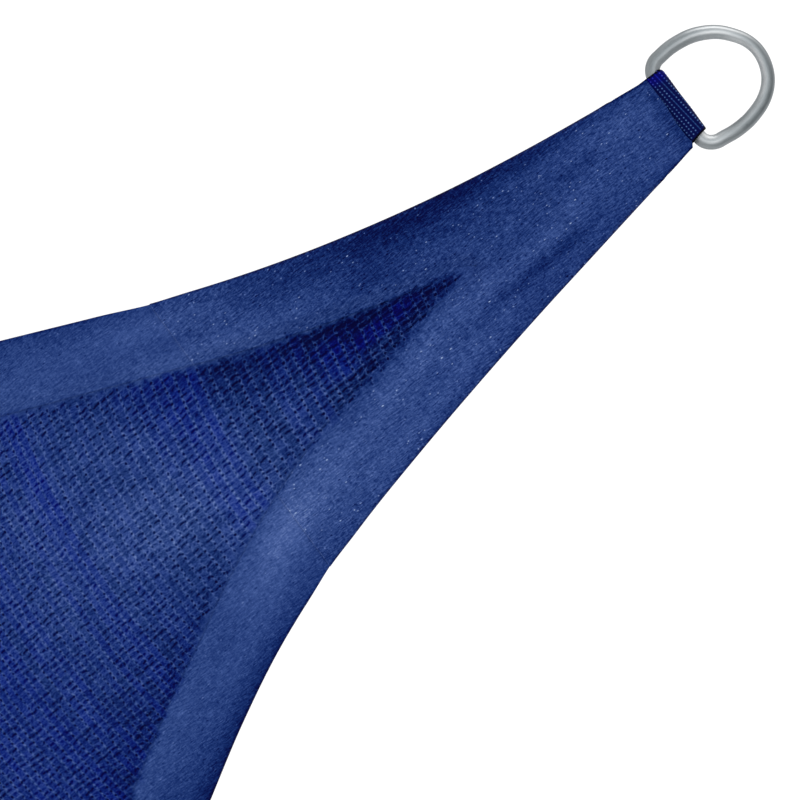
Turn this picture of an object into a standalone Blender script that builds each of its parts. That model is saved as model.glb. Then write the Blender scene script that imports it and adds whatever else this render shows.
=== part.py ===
"""A triangular shade sail, hung by a steel D-ring at each of its three corners.

The sail is drawn in its own plane, with its centre at the origin, +X towards the
first corner and +Z on the upper side.  It is the same about each corner, so one
corner is worked out and repeated at a third of a turn.  The empty named
sail_plane then turns, pitches and lowers the whole sail, so that the first
corner's hanging point is the world's origin.
"""

import math

import bmesh
import bpy
from mathutils import Matrix, Vector

MM = 0.001

# The sail
SIDE = 2000 * MM                        # hanging point to hanging point
CORNER_BEARING = math.radians(40)       # of the first corner, in the sail's plane
PITCH = math.radians(35)                # of the plane, rising away from the front
RING_TURN = math.radians(3)             # each ring pulls a little off the bisector
SAG = 60 * MM                           # drop of the cloth's centre below the plane

# The cloth
HEM_THICK = 2.4 * MM
MESH_THICK = 1.0 * MM
HEM_STEP = 1.0 * MM                     # width of the step from the hem to the mesh
FIELD_HEM = 24 * MM                     # hem width away from the corners
CLOTH_START = 7 * MM                    # where the cloth begins, from the patch's end
FOLD_ROOM = 1.8 * MM                    # the cloth's edge inside the patch's edge
EDGE_RETURN = (2 * MM, 7 * MM)          # past the patch, where the edge comes out to the outline

# The corner patch, folded over both hems
PATCH_THICK = 1.0 * MM
PATCH_LENGTH = 182 * MM                 # along each hem
PATCH_TURN = 1.5 * MM                   # from the outline to where the patch turns under
NOSE_LENGTH = 17 * MM                   # where the patch's sides are still open
NOSE_FLARE = 0.95 * MM                  # how far its end opens for the webbing
MESH_TIP = 84 * MM                      # from the patch's end to the mesh's point
TIP_BLUNT = 0.10                        # half-width of that point, as a share

# The webbing loop
WEB_WIDTH = 26 * MM
WEB_THICK = 1.2 * MM
WEB_LEG = 48 * MM                       # from the bar to the end of each leg
WEB_PINCH = 9 * MM                      # from the bar to where the legs lie flat
WEB_ARC_START = math.radians(81)        # where the strap meets its arc round the bar
WEB_ARC_FACETS = 11
WEB_LEG_FACETS = 3
LEG_STEP = (47.5 * MM, 53 * MM)         # where the patch comes down past the strap's end

# The D-ring, measured to the middle of its wire
WIRE = 5.0 * MM
RING_WIDTH = 34.6 * MM
RING_HEIGHT = 32.7 * MM
RING_CORNER = 5.0 * MM
RING_START = 3.0 * MM                   # from the bar to the patch's end
RING_CORNER_FACETS = 4
RING_BOW_FACETS = 20
RING_BAR_FACETS = 4
WIRE_ROUNDNESS = 3                      # steps in a quarter of the wire's round

CLEARANCE = 0.3 * MM
MERGE = 0.05 * MM                       # closer points are the same one
ROW_MARGIN = 1 * MM                     # a row this far past a limit is beyond it

HANG_DEPTH = RING_HEIGHT - WIRE / 2     # from the bar to the hanging point
HOLD_RADIUS = SIDE / math.sqrt(3)
CORNER_COUNT = 3
CORNER_STEP = math.tau / CORNER_COUNT

# The corner's outline, in millimetres: the distance from the ring's bar, the
# distances from the line of pull to the two edges, and the two hems' widths.
OUTLINE_COLUMNS = ("along", "left", "right", "left_hem", "right_hem")
OUTLINE_ROWS = (
    (3, 14.0, 13.2, 26.0, 27.5),
    (20, 16.0, 16.2, 26.0, 27.5),
    (50, 20.0, 21.7, 26.0, 27.5),
    (80, 25.2, 27.3, 26.0, 27.5),
    (110, 32.0, 33.5, 25.5, 29.0),
    (140, 40.4, 40.3, 24.5, 30.0),
    (165, 48.9, 46.6, 24.0, 30.0),
    (190, 58.8, 54.3, 23.5, 28.5),
    (215, 69.4, 64.1, 23.5, 26.0),
    (240, 80.1, 76.7, 23.5, 22.5),
    (265, 91.0, 91.3, 23.5, 20.5),
)

# Soft troughs that the pull draws in the cloth, in the corner's frame and in
# millimetres: start, end, half-width and depth.
TROUGH_COLUMNS = ("start_along", "start_across", "end_along", "end_across", "half_width", "depth")
TROUGH_ROWS = (
    (46, 12, 130, 18, 14, 0.9),
    (56, -14, 150, -31, 13, 0.6),
)

# Distances along each edge, in millimetres, of the rows of the cloth's mesh.
CLOTH_STATIONS = (
    7, 18, 30, 44, 47.5, 53, 62, 72, 84, 86, 96, 110, 126, 144, 163, 182, 183.5,
    189, 200, 214, 232, 256, 290, 335, 395, 470, 560, 660, 765, 870,
)
PATCH_STATIONS = (
    0, 7, 17, 18, 30, 44, 47.5, 53, 62, 72, 84, 86, 96, 110, 126, 144, 163, 182,
)
HEM_SHARES = (1 / 3, 2 / 3)             # of the way from the outline to the hem's inner edge
MESH_SHARES = (0.0, 0.22, 0.48, 0.74)   # of the way from the hem to the middle
EDGE_SAMPLES = 60                       # between two points of the outline
FAR_BLEND_START = 200 * MM              # where the rows begin to bow to the centre

EMPTY_SIZE = 50 * MM

SAIL_BLUE = (0.024, 0.055, 0.190, 1.0)
PATCH_BLUE = (0.030, 0.070, 0.230, 1.0)
WEB_BLUE = (0.005, 0.008, 0.060, 1.0)
STEEL_GREY = (0.60, 0.62, 0.63, 1.0)


# ---------------------------------------------------------------- the plane

def turn(point, angle):
    """Turn a point of the sail's plane about the sail's centre."""
    return Matrix.Rotation(angle, 2) @ point


def corner_axes():
    """Give the first corner's directions: away from its ring, and to the right edge."""
    along = Vector((-math.cos(RING_TURN), math.sin(RING_TURN)))
    across = Vector((-math.sin(RING_TURN), -math.cos(RING_TURN)))
    return along, across


def bar_centre():
    """Give the middle of the first ring's bar."""
    along, across = corner_axes()
    return Vector((HOLD_RADIUS, 0.0)) + along * HANG_DEPTH


def from_corner(along_by, across_by):
    """Turn a place in the first corner's frame into one in the sail's plane."""
    along, across = corner_axes()
    return bar_centre() + along * along_by + across * across_by


def into_corner(point):
    """Turn a place in the sail's plane into one in the first corner's frame."""
    along, across = corner_axes()
    offset = point - bar_centre()
    return offset.dot(along), offset.dot(across)


def smooth(share):
    """Ease from 0 to 1, flat at both ends."""
    share = min(max(share, 0.0), 1.0)
    return share * share * (3 - 2 * share)


def ease(value, limits):
    """Ease from 0 to 1 as a value goes from one limit to another."""
    start, end = limits
    return smooth((value - start) / (end - start))


def sag(point):
    """Give how far the cloth hangs below the plane of its rings."""
    radius = bar_centre().length
    shares = 1.0
    for corner in range(CORNER_COUNT):
        bearing = turn(Vector((radius, 0.0)), corner * CORNER_STEP)
        shares *= max(1 + 2 * point.dot(bearing) / radius ** 2, 0.0)
    return SAG * shares


def trough(point, row):
    """Give the depth of one trough at a place in the first corner's frame."""
    start = Vector((row["start_along"], row["start_across"])) * MM
    end = Vector((row["end_along"], row["end_across"])) * MM
    run = end - start
    share = (point - start).dot(run) / run.length_squared
    aside = (point - start - run * share).length
    if share <= 0 or share >= 1 or aside >= row["half_width"] * MM:
        return 0.0
    across = math.cos(math.pi / 2 * aside / (row["half_width"] * MM)) ** 2
    return row["depth"] * MM * across * math.sin(math.pi * share)


def troughs(point):
    """Give the depth of all the corners' troughs at a place in the plane."""
    depth = 0.0
    for corner in range(CORNER_COUNT):
        local = Vector(into_corner(turn(point, -corner * CORNER_STEP)))
        for values in TROUGH_ROWS:
            depth += trough(local, dict(zip(TROUGH_COLUMNS, values)))
    return depth


def surface(point):
    """Give the height of the middle of the cloth's hem over the plane."""
    return -sag(point) - troughs(point)


# ---------------------------------------------------------------- the edges

def smooth_path(points):
    """Join points with a smooth curve, given as many short steps."""
    gaps = [(after - before).length for before, after in zip(points, points[1:])]
    slopes = [(points[1] - points[0]) / gaps[0]]
    for index in range(1, len(points) - 1):
        before = (points[index] - points[index - 1]) / gaps[index - 1]
        after = (points[index + 1] - points[index]) / gaps[index]
        whole = gaps[index - 1] + gaps[index]
        slopes.append((before * gaps[index] + after * gaps[index - 1]) / whole)
    slopes.append((points[-1] - points[-2]) / gaps[-1])
    path = []
    for index, gap in enumerate(gaps):
        for step in range(EDGE_SAMPLES):
            share = step / EDGE_SAMPLES
            rise = smooth(share)
            leave = share * (1 - share) ** 2 * gap
            arrive = share ** 2 * (share - 1) * gap
            place = points[index].lerp(points[index + 1], rise)
            path.append(place + slopes[index] * leave + slopes[index + 1] * arrive)
    path.append(points[-1])
    return path


def outline_rows():
    """Give the outline's rows in metres, by the names of their columns."""
    rows = []
    for values in OUTLINE_ROWS:
        rows.append({name: value * MM for name, value in zip(OUTLINE_COLUMNS, values)})
    return rows


def edge_points():
    """Give the edge from the first corner's left side to the next one's right."""
    near = [from_corner(row["along"], -row["left"]) for row in outline_rows()]
    far = [from_corner(row["along"], row["right"]) for row in outline_rows()]
    far = [turn(point, CORNER_STEP) for point in far]
    return smooth_path(near + far[::-1])


def path_lengths(path):
    """Give the distance along a path to each of its points."""
    lengths = [0.0]
    for before, after in zip(path, path[1:]):
        lengths.append(lengths[-1] + (after - before).length)
    return lengths


def along_path(path, lengths, distance):
    """Give the place and the direction at a distance along a path."""
    index = 1
    while index < len(path) - 1 and lengths[index] < distance:
        index += 1
    before, after = path[index - 1], path[index]
    share = (distance - lengths[index - 1]) / (lengths[index] - lengths[index - 1])
    return before.lerp(after, share), (after - before).normalized()


class Side:
    """One of the first corner's two edges, followed from its patch's end."""

    def __init__(self, name):
        path = edge_points()
        if name == "right":
            path = [turn(point, -CORNER_STEP) for point in path[::-1]]
        self.path = path
        self.lengths = path_lengths(path)
        self.half = self.lengths[-1] / 2
        self.hems = [(row["along"] - RING_START, row[name + "_hem"]) for row in outline_rows()]

    def place(self, distance):
        """Give the outline's place and direction at a distance along it."""
        return along_path(self.path, self.lengths, distance)

    def hem(self, distance):
        """Give the hem's width at a distance along the edge."""
        last, width = self.hems[-1]
        if distance >= last:
            return width + (FIELD_HEM - width) * smooth((distance - last) / last)
        for (near, before), (far, after) in zip(self.hems, self.hems[1:]):
            if distance <= far:
                break
        return before + (after - before) * (distance - near) / (far - near)


LEFT = Side("left")
RIGHT = Side("right")


def row_middle(distance):
    """Give the middle of the row that joins the two edges at a distance."""
    middle = (LEFT.place(distance)[0] + RIGHT.place(distance)[0]) / 2
    share = (distance - FAR_BLEND_START) / (LEFT.half - FAR_BLEND_START)
    return middle.lerp(Vector((0.0, 0.0)), smooth(share))


def hem_reach(side, distance):
    """Give the share of the way from an edge to the middle that its hem takes."""
    edge, direction = side.place(distance)
    row = row_middle(distance) - edge
    square = math.sqrt(max(1 - row.normalized().dot(direction) ** 2, 0.0))
    return min(side.hem(distance) / square / row.length, 1 - TIP_BLUNT)


# ---------------------------------------------------------------- the pieces

def new_material(name, colour, roughness, metallic):
    """Make a Principled material."""
    material = bpy.data.materials.new(name)
    material.use_nodes = True
    shader = material.node_tree.nodes["Principled BSDF"]
    shader.inputs["Base Color"].default_value = colour
    shader.inputs["Roughness"].default_value = roughness
    shader.inputs["Metallic"].default_value = metallic
    return material


def new_object(name, data, collection, parent, material):
    """Make an object in a collection, under a parent."""
    item = bpy.data.objects.new(name, data)
    collection.objects.link(item)
    item.parent = parent
    data.materials.append(material)
    return item


def grid_mesh(mesh, place, rows, columns):
    """Add a grid whose point in each row and column is given by a function."""
    made = bmesh.ops.create_grid(mesh, x_segments=columns - 1, y_segments=rows - 1, size=1)
    points = sorted(made["verts"], key=lambda point: (round(point.co.y, 4), round(point.co.x, 4)))
    for index, point in enumerate(points):
        point.co = place(index // columns, index % columns)
    return points


def solidify(item, thickness):
    """Thicken an open sheet evenly to both sides, and give the modifier."""
    shell = item.modifiers.new("thickness", "SOLIDIFY")
    shell.thickness = thickness
    shell.offset = 0
    return shell


def cloth_edge(side, distance):
    """Give the cloth's own edge, which lies inside the patch near the corner."""
    outline = side.place(distance)[0]
    inward = (row_middle(distance) - outline).normalized()
    return outline + inward * FOLD_ROOM * (1 - ease(distance - PATCH_LENGTH, EDGE_RETURN))


def cloth_row(side, distance):
    """Give half a row of the cloth, from its edge to its middle, with its layers."""
    outline = side.place(distance)[0]
    middle = row_middle(distance)
    edge = cloth_edge(side, distance)
    reach = hem_reach(side, distance)
    step = HEM_STEP / (middle - outline).length
    inner = outline.lerp(middle, reach)
    start = outline.lerp(middle, reach + step)
    is_mesh = distance > MESH_TIP + ROW_MARGIN
    row = [(edge, False)]
    row += [(outline.lerp(inner, share), False) for share in HEM_SHARES]
    row.append((inner, False))
    for share in MESH_SHARES:
        row.append((start.lerp(middle, share), is_mesh))
    return row + [(middle, is_mesh)]


def build_canopy(collection, parent, material):
    """Make the knitted cloth with its folded hem: one sheet, thicker at the hem."""
    stations = [station * MM for station in CLOTH_STATIONS] + [LEFT.half]
    rows = []
    for distance in stations:
        left = cloth_row(LEFT, distance)
        right = cloth_row(RIGHT, distance)
        rows.append(left + right[-2::-1])
    mesh = bmesh.new()
    layer = mesh.verts.layers.deform.verify()
    drop = (HEM_THICK - MESH_THICK) / 2

    def place(row, column):
        point, is_mesh = rows[row][column]
        return (point.x, point.y, surface(point) - drop * is_mesh)

    for corner in range(CORNER_COUNT):
        points = grid_mesh(mesh, place, len(rows), len(rows[0]))
        for index, point in enumerate(points):
            is_mesh = rows[index // len(rows[0])][index % len(rows[0])][1]
            point[layer][0] = MESH_THICK / HEM_THICK if is_mesh else 1.0
        spin = Matrix.Rotation(CORNER_BEARING + corner * CORNER_STEP, 3, "Z")
        bmesh.ops.rotate(mesh, verts=points, matrix=spin)
    bmesh.ops.remove_doubles(mesh, verts=mesh.verts, dist=MERGE)
    bmesh.ops.recalc_face_normals(mesh, faces=mesh.faces)
    data = bpy.data.meshes.new("canopy")
    mesh.to_mesh(data)
    mesh.free()
    data.shade_smooth()
    canopy = new_object("canopy", data, collection, parent, material)
    canopy.vertex_groups.new(name="layers")
    solidify(canopy, HEM_THICK).vertex_group = "layers"


def patch_lift(distance):
    """Give the height of the patch's layers over the middle of the hem."""
    lift = HEM_THICK / 2 + CLEARANCE + PATCH_THICK / 2
    strap = (WEB_THICK + CLEARANCE) * (1 - ease(distance, LEG_STEP))
    flare = NOSE_FLARE * max(1 - distance / CLOTH_START, 0.0)
    return lift + strap + flare


def patch_row(side, distance):
    """Give half a row of the patch: over the hem, round its edge and back under."""
    outline = side.place(distance)[0]
    middle = row_middle(distance)
    inward = (middle - outline).normalized()
    lift = patch_lift(distance)
    inner = outline.lerp(middle, hem_reach(side, distance))
    start = inner if distance > MESH_TIP + ROW_MARGIN else middle
    turn_in = outline + inward * PATCH_TURN
    wall = outline + inward * PATCH_THICK / 2
    drop = PATCH_THICK
    if distance <= NOSE_LENGTH:
        wall, drop = outline, 0.0
    over = [(start, lift)]
    over += [(outline.lerp(inner, share), lift) for share in reversed(HEM_SHARES)]
    over += [(turn_in, lift), (wall, lift - drop)]
    under = [(point, -height) for point, height in reversed(over)]
    return over + under


def patch_mesh():
    """Make the patch's sheet: a V that is folded over both edges of the corner."""
    stations = [station * MM for station in PATCH_STATIONS]
    mesh = bmesh.new()
    for side in (LEFT, RIGHT):
        rows = [patch_row(side, distance) for distance in stations]

        def place(row, column):
            point, height = rows[row][column]
            along, across = into_corner(point)
            return (along, across, surface(point) + height)

        columns = len(rows[0])
        points = grid_mesh(mesh, place, len(rows), columns)
        open_sides = []
        for row, distance in enumerate(stations[1:]):
            if distance <= NOSE_LENGTH + ROW_MARGIN:
                first = points[row * columns + columns // 2 - 1]
                last = points[(row + 1) * columns + columns // 2]
                open_sides.extend(set(first.link_faces) & set(last.link_faces))
        bmesh.ops.delete(mesh, geom=open_sides, context="FACES_ONLY")
    bmesh.ops.remove_doubles(mesh, verts=mesh.verts, dist=MERGE)
    bmesh.ops.recalc_face_normals(mesh, faces=mesh.faces)
    data = bpy.data.meshes.new("patch")
    mesh.to_mesh(data)
    mesh.free()
    data.shade_smooth()
    return data


def build_patch(corner, data, collection, parent, material):
    """Place one corner's patch."""
    patch = new_object("patch_" + corner, data, collection, parent, material)
    solidify(patch, PATCH_THICK)


def arc_points(centre, radius, start, sweep, facets):
    """Give points along an arc, both ends included."""
    points = []
    for step in range(facets + 1):
        angle = start + sweep * step / facets
        points.append((centre[0] + radius * math.cos(angle), centre[1] + radius * math.sin(angle)))
    return points


def web_path():
    """Give the webbing's course from leg end to leg end, round the ring's bar."""
    flat = HEM_THICK / 2 + CLEARANCE + WEB_THICK / 2
    radius = WIRE / 2 + CLEARANCE + WEB_THICK / 2
    legs = []
    for step in range(WEB_LEG_FACETS + 1):
        along = WEB_LEG + (WEB_PINCH - WEB_LEG) * step / WEB_LEG_FACETS
        legs.append((along, flat))
    sweep = math.tau - 2 * WEB_ARC_START
    arc = arc_points((0.0, 0.0), radius, WEB_ARC_START, sweep, WEB_ARC_FACETS)
    back = [(along, -height) for along, height in reversed(legs)]
    return legs + arc + back


def webbing_mesh():
    """Make the strap's sheet along its path."""
    path = web_path()
    mesh = bmesh.new()

    def place(row, column):
        along, height = path[row]
        across = WEB_WIDTH * (column - 0.5)
        base = surface(from_corner(along, 0.0)) if along > WEB_PINCH / 2 else 0.0
        return (along, across, base + height)

    grid_mesh(mesh, place, len(path), 2)
    bmesh.ops.recalc_face_normals(mesh, faces=mesh.faces)
    data = bpy.data.meshes.new("webbing")
    mesh.to_mesh(data)
    mesh.free()
    data.shade_smooth()
    return data


def build_webbing(corner, data, collection, parent, material):
    """Place one corner's webbing loop."""
    webbing = new_object("webbing_" + corner, data, collection, parent, material)
    solidify(webbing, WEB_THICK)


def ring_path():
    """Give the middle of the ring's wire: a bar, two corners and a round bow."""
    half = RING_WIDTH / 2
    inset = half - RING_CORNER
    quarter = math.pi / 2
    bow_centre = (-(RING_HEIGHT - half), 0.0)
    path = arc_points((-RING_CORNER, inset), RING_CORNER, 0.0, quarter, RING_CORNER_FACETS)
    path += arc_points(bow_centre, half, quarter, math.pi, RING_BOW_FACETS)
    path += arc_points((-RING_CORNER, -inset), RING_CORNER, -quarter, quarter, RING_CORNER_FACETS)
    for step in range(1, RING_BAR_FACETS):
        path.append((0.0, -inset + 2 * inset * step / RING_BAR_FACETS))
    return path


def ring_curve():
    """Make the ring's wire as a closed curve."""
    path = ring_path()
    curve = bpy.data.curves.new("ring", "CURVE")
    curve.dimensions = "3D"
    curve.bevel_depth = WIRE / 2
    curve.bevel_resolution = WIRE_ROUNDNESS
    line = curve.splines.new("POLY")
    line.points.add(len(path) - 1)
    for point, (along, across) in zip(line.points, path):
        point.co = (along, across, 0.0, 1.0)
    line.use_cyclic_u = True
    return curve


def build_ring(corner, data, collection, parent, material):
    """Place one corner's D-ring."""
    new_object("ring_" + corner, data, collection, parent, material)


def corner_empty(corner, bearing, collection, parent):
    """Make a corner's frame: its origin on the bar, +X away from the ring."""
    empty = bpy.data.objects.new("corner_" + corner, None)
    empty.empty_display_size = EMPTY_SIZE
    collection.objects.link(empty)
    empty.parent = parent
    place = turn(bar_centre(), bearing)
    empty.location = (place.x, place.y, 0.0)
    along, across = corner_axes()
    heading = math.atan2(along.y, along.x) + bearing
    empty.rotation_euler = (0.0, 0.0, heading)
    return empty


def clear_scene():
    """Remove what the scene holds."""
    for item in list(bpy.data.objects):
        bpy.data.objects.remove(item, do_unlink=True)


def main():
    clear_scene()
    collection = bpy.data.collections.new("shade_sail")
    bpy.context.scene.collection.children.link(collection)
    plane = bpy.data.objects.new("sail_plane", None)
    collection.objects.link(plane)
    plane.rotation_euler = (PITCH, 0.0, 0.0)
    hang = turn(Vector((HOLD_RADIUS, 0.0)), CORNER_BEARING)
    plane.location = -(Matrix.Rotation(PITCH, 3, "X") @ hang.to_3d())

    knit = new_material("knitted_mesh", SAIL_BLUE, 0.75, 0.0)
    dense = new_material("dense_cloth", PATCH_BLUE, 0.70, 0.0)
    strap = new_material("webbing", WEB_BLUE, 0.60, 0.0)
    steel = new_material("satin_steel", STEEL_GREY, 0.30, 1.0)

    build_canopy(collection, plane, knit)
    patch = patch_mesh()
    webbing = webbing_mesh()
    ring = ring_curve()
    for index, corner in enumerate(("a", "b", "c")):
        bearing = CORNER_BEARING + index * CORNER_STEP
        frame = corner_empty(corner, bearing, collection, plane)
        build_patch(corner, patch, collection, frame, dense)
        build_webbing(corner, webbing, collection, frame, strap)
        build_ring(corner, ring, collection, frame, steel)


main()
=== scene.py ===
"""The looks of a triangular shade sail: knitted cloth with a folded hem, three
folded corner patches, three webbing loops and three steel D-rings.

The sail is drawn in its own plane, with its centre at the origin and the first
corner towards +X.  A place in that plane is a complex number, in metres.  The
sail is the same about each corner, so one corner is worked out and repeated.
"""

import math

import bmesh
import bpy
import numpy as np
from mathutils import Matrix, Vector


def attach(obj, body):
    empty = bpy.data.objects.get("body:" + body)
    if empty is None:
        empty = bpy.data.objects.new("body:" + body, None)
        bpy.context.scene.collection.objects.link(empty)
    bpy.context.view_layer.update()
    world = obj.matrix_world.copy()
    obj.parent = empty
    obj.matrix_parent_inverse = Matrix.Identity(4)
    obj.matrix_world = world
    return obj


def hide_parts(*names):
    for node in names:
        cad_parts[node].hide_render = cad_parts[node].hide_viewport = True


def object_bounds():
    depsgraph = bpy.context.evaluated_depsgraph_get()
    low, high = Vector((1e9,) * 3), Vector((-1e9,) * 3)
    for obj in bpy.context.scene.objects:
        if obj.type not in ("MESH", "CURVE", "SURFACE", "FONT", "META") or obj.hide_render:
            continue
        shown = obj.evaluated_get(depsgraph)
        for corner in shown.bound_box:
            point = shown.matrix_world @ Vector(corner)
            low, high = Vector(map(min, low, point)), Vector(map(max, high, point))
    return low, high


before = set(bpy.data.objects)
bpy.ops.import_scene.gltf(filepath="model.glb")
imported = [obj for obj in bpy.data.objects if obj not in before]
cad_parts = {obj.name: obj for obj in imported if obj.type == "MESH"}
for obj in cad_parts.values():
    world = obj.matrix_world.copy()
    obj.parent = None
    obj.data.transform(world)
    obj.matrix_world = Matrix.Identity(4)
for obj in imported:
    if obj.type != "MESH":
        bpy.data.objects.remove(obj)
cad_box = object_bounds()

MM = 0.001

# The sail, as in the solids
SIDE = 2000 * MM  # hanging point to hanging point
CORNER_BEARING = math.radians(40)  # of the first corner, in the sail's plane
PITCH = math.radians(35)  # of the plane, rising away from the front
RING_TURN = math.radians(3)  # each ring pulls a little off the bisector
SAG = 60 * MM  # drop of the cloth's centre below the plane
CORNERS = ("a", "b", "c")
CORNER_STEP = math.tau / 3

HEM_THICK = 2.4 * MM
MESH_THICK = 1.0 * MM
FIELD_HEM = 24 * MM
CLOTH_START = 7 * MM
FOLD_ROOM = 1.8 * MM
PATCH_LENGTH = 182 * MM
MESH_TIP = 84 * MM
TIP_BLUNT = 0.10
WEB_WIDTH = 26 * MM
WEB_THICK = 1.2 * MM
WEB_LEG = 48 * MM
WEB_PINCH = 9 * MM
WIRE = 5.0 * MM
RING_WIDTH = 34.6 * MM
RING_HEIGHT = 32.7 * MM
RING_CORNER = 5.0 * MM
RING_START = 3.0 * MM
CLEARANCE = 0.3 * MM
HANG_DEPTH = RING_HEIGHT - WIRE / 2
HOLD_RADIUS = SIDE / math.sqrt(3)

# The corner's outline, in millimetres: the distance from the ring's bar, the
# distances from the line of pull to the two edges, and the two hems' widths.
OUTLINE_ROWS = np.array((
    (3, 14.0, 13.2, 26.0, 27.5),
    (20, 16.0, 16.2, 26.0, 27.5),
    (50, 20.0, 21.7, 26.0, 27.5),
    (80, 25.2, 27.3, 26.0, 27.5),
    (110, 32.0, 33.5, 25.5, 29.0),
    (140, 40.4, 40.3, 24.5, 30.0),
    (165, 48.9, 46.6, 24.0, 30.0),
    (190, 58.8, 54.3, 23.5, 28.5),
    (215, 69.4, 64.1, 23.8, 26.5),
    (240, 80.1, 76.7, 24.3, 24.5),
    (265, 91.0, 91.3, 24.5, 25.0),
)) * MM
ALONG, LEFT_REACH, RIGHT_REACH, LEFT_HEM, RIGHT_HEM = OUTLINE_ROWS.T
EDGE_SAMPLES = 60
FAR_BLEND_START = 200 * MM
EVEN_UNTIL = 300 * MM  # where the cloth's rows begin to lie wider apart

# Soft troughs and ridges that the pull draws in the cloth, in the corner's
# frame and in millimetres: start, end, half-width, and height (a ridge's is
# above nought).  The first two are in the solids as well.
FOLD_ROWS = (
    (46, 12, 130, 18, 14, -0.9), (56, -14, 150, -31, 13, -0.6), (8, -6, 70, -9, 4.5, 0.35),
    (10, 5, 88, 9, 5.0, 0.40), (22, -12, 120, -27, 5.0, -0.45), (48, 14, 92, 16, 4.0, -0.45),
    (90, 8, 176, 31, 6.0, 0.50), (30, -1, 84, -3, 4.0, -0.30), (120, -31, 185, -55, 6.0, 0.40),
    (110, 30, 180, 44, 5.0, -0.40), (150, 8, 620, 40, 55, 2.6), (190, -40, 760, -170, 48, -2.2),
    (210, 50, 700, 190, 45, 1.8), (260, -10, 900, -40, 80, -3.0), (230, -75, 640, -200, 30, 1.4),
    (240, 85, 620, 215, 30, -1.4),
)

# The light that falls on the sail, as a share of a full one, and the share of
# it that the cloth's threads throw straight back.
LIGHT = 1.36
WORLD = 1.0  # the part that comes from all round
GLOSS = 0.004


# ---- the plane

def smooth(share):
    """Ease from 0 to 1, flat at both ends."""
    share = np.clip(share, 0.0, 1.0)
    return share * share * (3 - 2 * share)


def ease(value, start, end):
    """Ease from 0 to 1 between a start and an end."""
    return smooth((value - start) / (end - start))


def turned(place, corners):
    """Turn places from one corner on to another."""
    return place * np.exp(1j * CORNER_STEP * corners)


PULL = complex(-math.cos(RING_TURN), math.sin(RING_TURN))
BAR_CENTRE = HOLD_RADIUS + PULL * HANG_DEPTH


def from_corner(along, across):
    """Turn places in the first corner's frame into the plane's."""
    return BAR_CENTRE + PULL * (along + 1j * across)


def into_corner(place):
    """Turn places in the plane into the first corner's frame."""
    return (place - BAR_CENTRE) / PULL


def dot(first, second):
    """Give the dot product of two plane vectors."""
    return (first * np.conj(second)).real


def sag(place):
    """Give how far the cloth hangs below its rings' plane."""
    radius = abs(BAR_CENTRE)
    shares = 1.0
    for corner in range(3):
        bearing = turned(radius, corner)
        shares = shares * np.maximum(1 + 2 * dot(place, bearing) / radius ** 2, 0.0)
    return SAG * shares


def streak(local, start, end, half_width):
    """Give a soft streak's strength at places, from 0 to 1."""
    run = end - start
    share = dot(local - start, run) / abs(run) ** 2
    aside = abs(local - start - run * np.clip(share, 0, 1))
    across = np.cos(math.pi / 2 * np.clip(aside / half_width, 0, 1)) ** 2
    return across * np.sin(math.pi * np.clip(share, 0, 1))


def all_streaks(local, rows):
    """Add up a table's streaks."""
    return sum(row[5] * streak(local, complex(*row[0:2]), complex(*row[2:4]), row[4]) for row in rows)


def corner_frames(place):
    """Turn places into each corner's frame, in millimetres."""
    return [into_corner(turned(place, -corner)) / MM for corner in range(3)]


def folds(place):
    """Give the height of all the corners' folds."""
    return sum(all_streaks(local, FOLD_ROWS) for local in corner_frames(place)) * MM


def surface(place):
    """Give the height of the middle of the hem over the plane."""
    return folds(place) - sag(place)


# ---- the edges

def smooth_path(points):
    """Join places with a smooth curve of short steps."""
    points = np.asarray(points)
    gaps = abs(np.diff(points))
    steep = np.diff(points) / gaps
    inner = (steep[:-1] * gaps[1:] + steep[1:] * gaps[:-1]) / (gaps[:-1] + gaps[1:])
    slopes = np.concatenate(([steep[0]], inner, [steep[-1]]))
    share = np.arange(EDGE_SAMPLES) / EDGE_SAMPLES
    rise = smooth(share)
    leave = share * (1 - share) ** 2
    arrive = share ** 2 * (share - 1)
    path = [
        points[i] + (points[i + 1] - points[i]) * rise + gap * (slopes[i] * leave + slopes[i + 1] * arrive)
        for i, gap in enumerate(gaps)
    ]
    return np.append(np.concatenate(path), points[-1])


def run_lengths(path):
    """Give the length of a path up to each of its points."""
    return np.concatenate(([0.0], np.cumsum(abs(np.diff(path)))))


def edge_points():
    """Give the edge from the first corner to the next."""
    near = from_corner(ALONG, -LEFT_REACH)
    far = turned(from_corner(ALONG, RIGHT_REACH), 1)
    return smooth_path(np.concatenate((near, far[::-1])))


class Side:
    """One of the first corner's two edges, followed from its ring."""

    def __init__(self, path, hem_widths):
        self.path = path
        self.lengths = run_lengths(path)
        self.half = self.lengths[-1] / 2
        self.hem_starts = ALONG - RING_START
        self.hem_widths = hem_widths

    def place(self, distance):
        """Give the outline's places."""
        return np.interp(distance, self.lengths, self.path)

    def heading(self, distance):
        """Give the outline's direction."""
        step = 1 * MM
        run = self.place(np.minimum(distance + step, self.lengths[-1])) - self.place(distance)
        return run / abs(run)

    def hem(self, distance):
        """Give the hem's width."""
        last = self.hem_starts[-1]
        width = np.interp(distance, self.hem_starts, self.hem_widths)
        return width + (FIELD_HEM - width) * smooth((distance - last) / last)


LEFT = Side(edge_points(), LEFT_HEM)
RIGHT = Side(turned(edge_points()[::-1], -1), RIGHT_HEM)
SIDES = (LEFT, RIGHT)


def row_middle(distance):
    """Give the middles of the rows that join the two edges."""
    middle = (LEFT.place(distance) + RIGHT.place(distance)) / 2
    return middle * (1 - smooth((distance - FAR_BLEND_START) / (LEFT.half - FAR_BLEND_START)))


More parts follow.
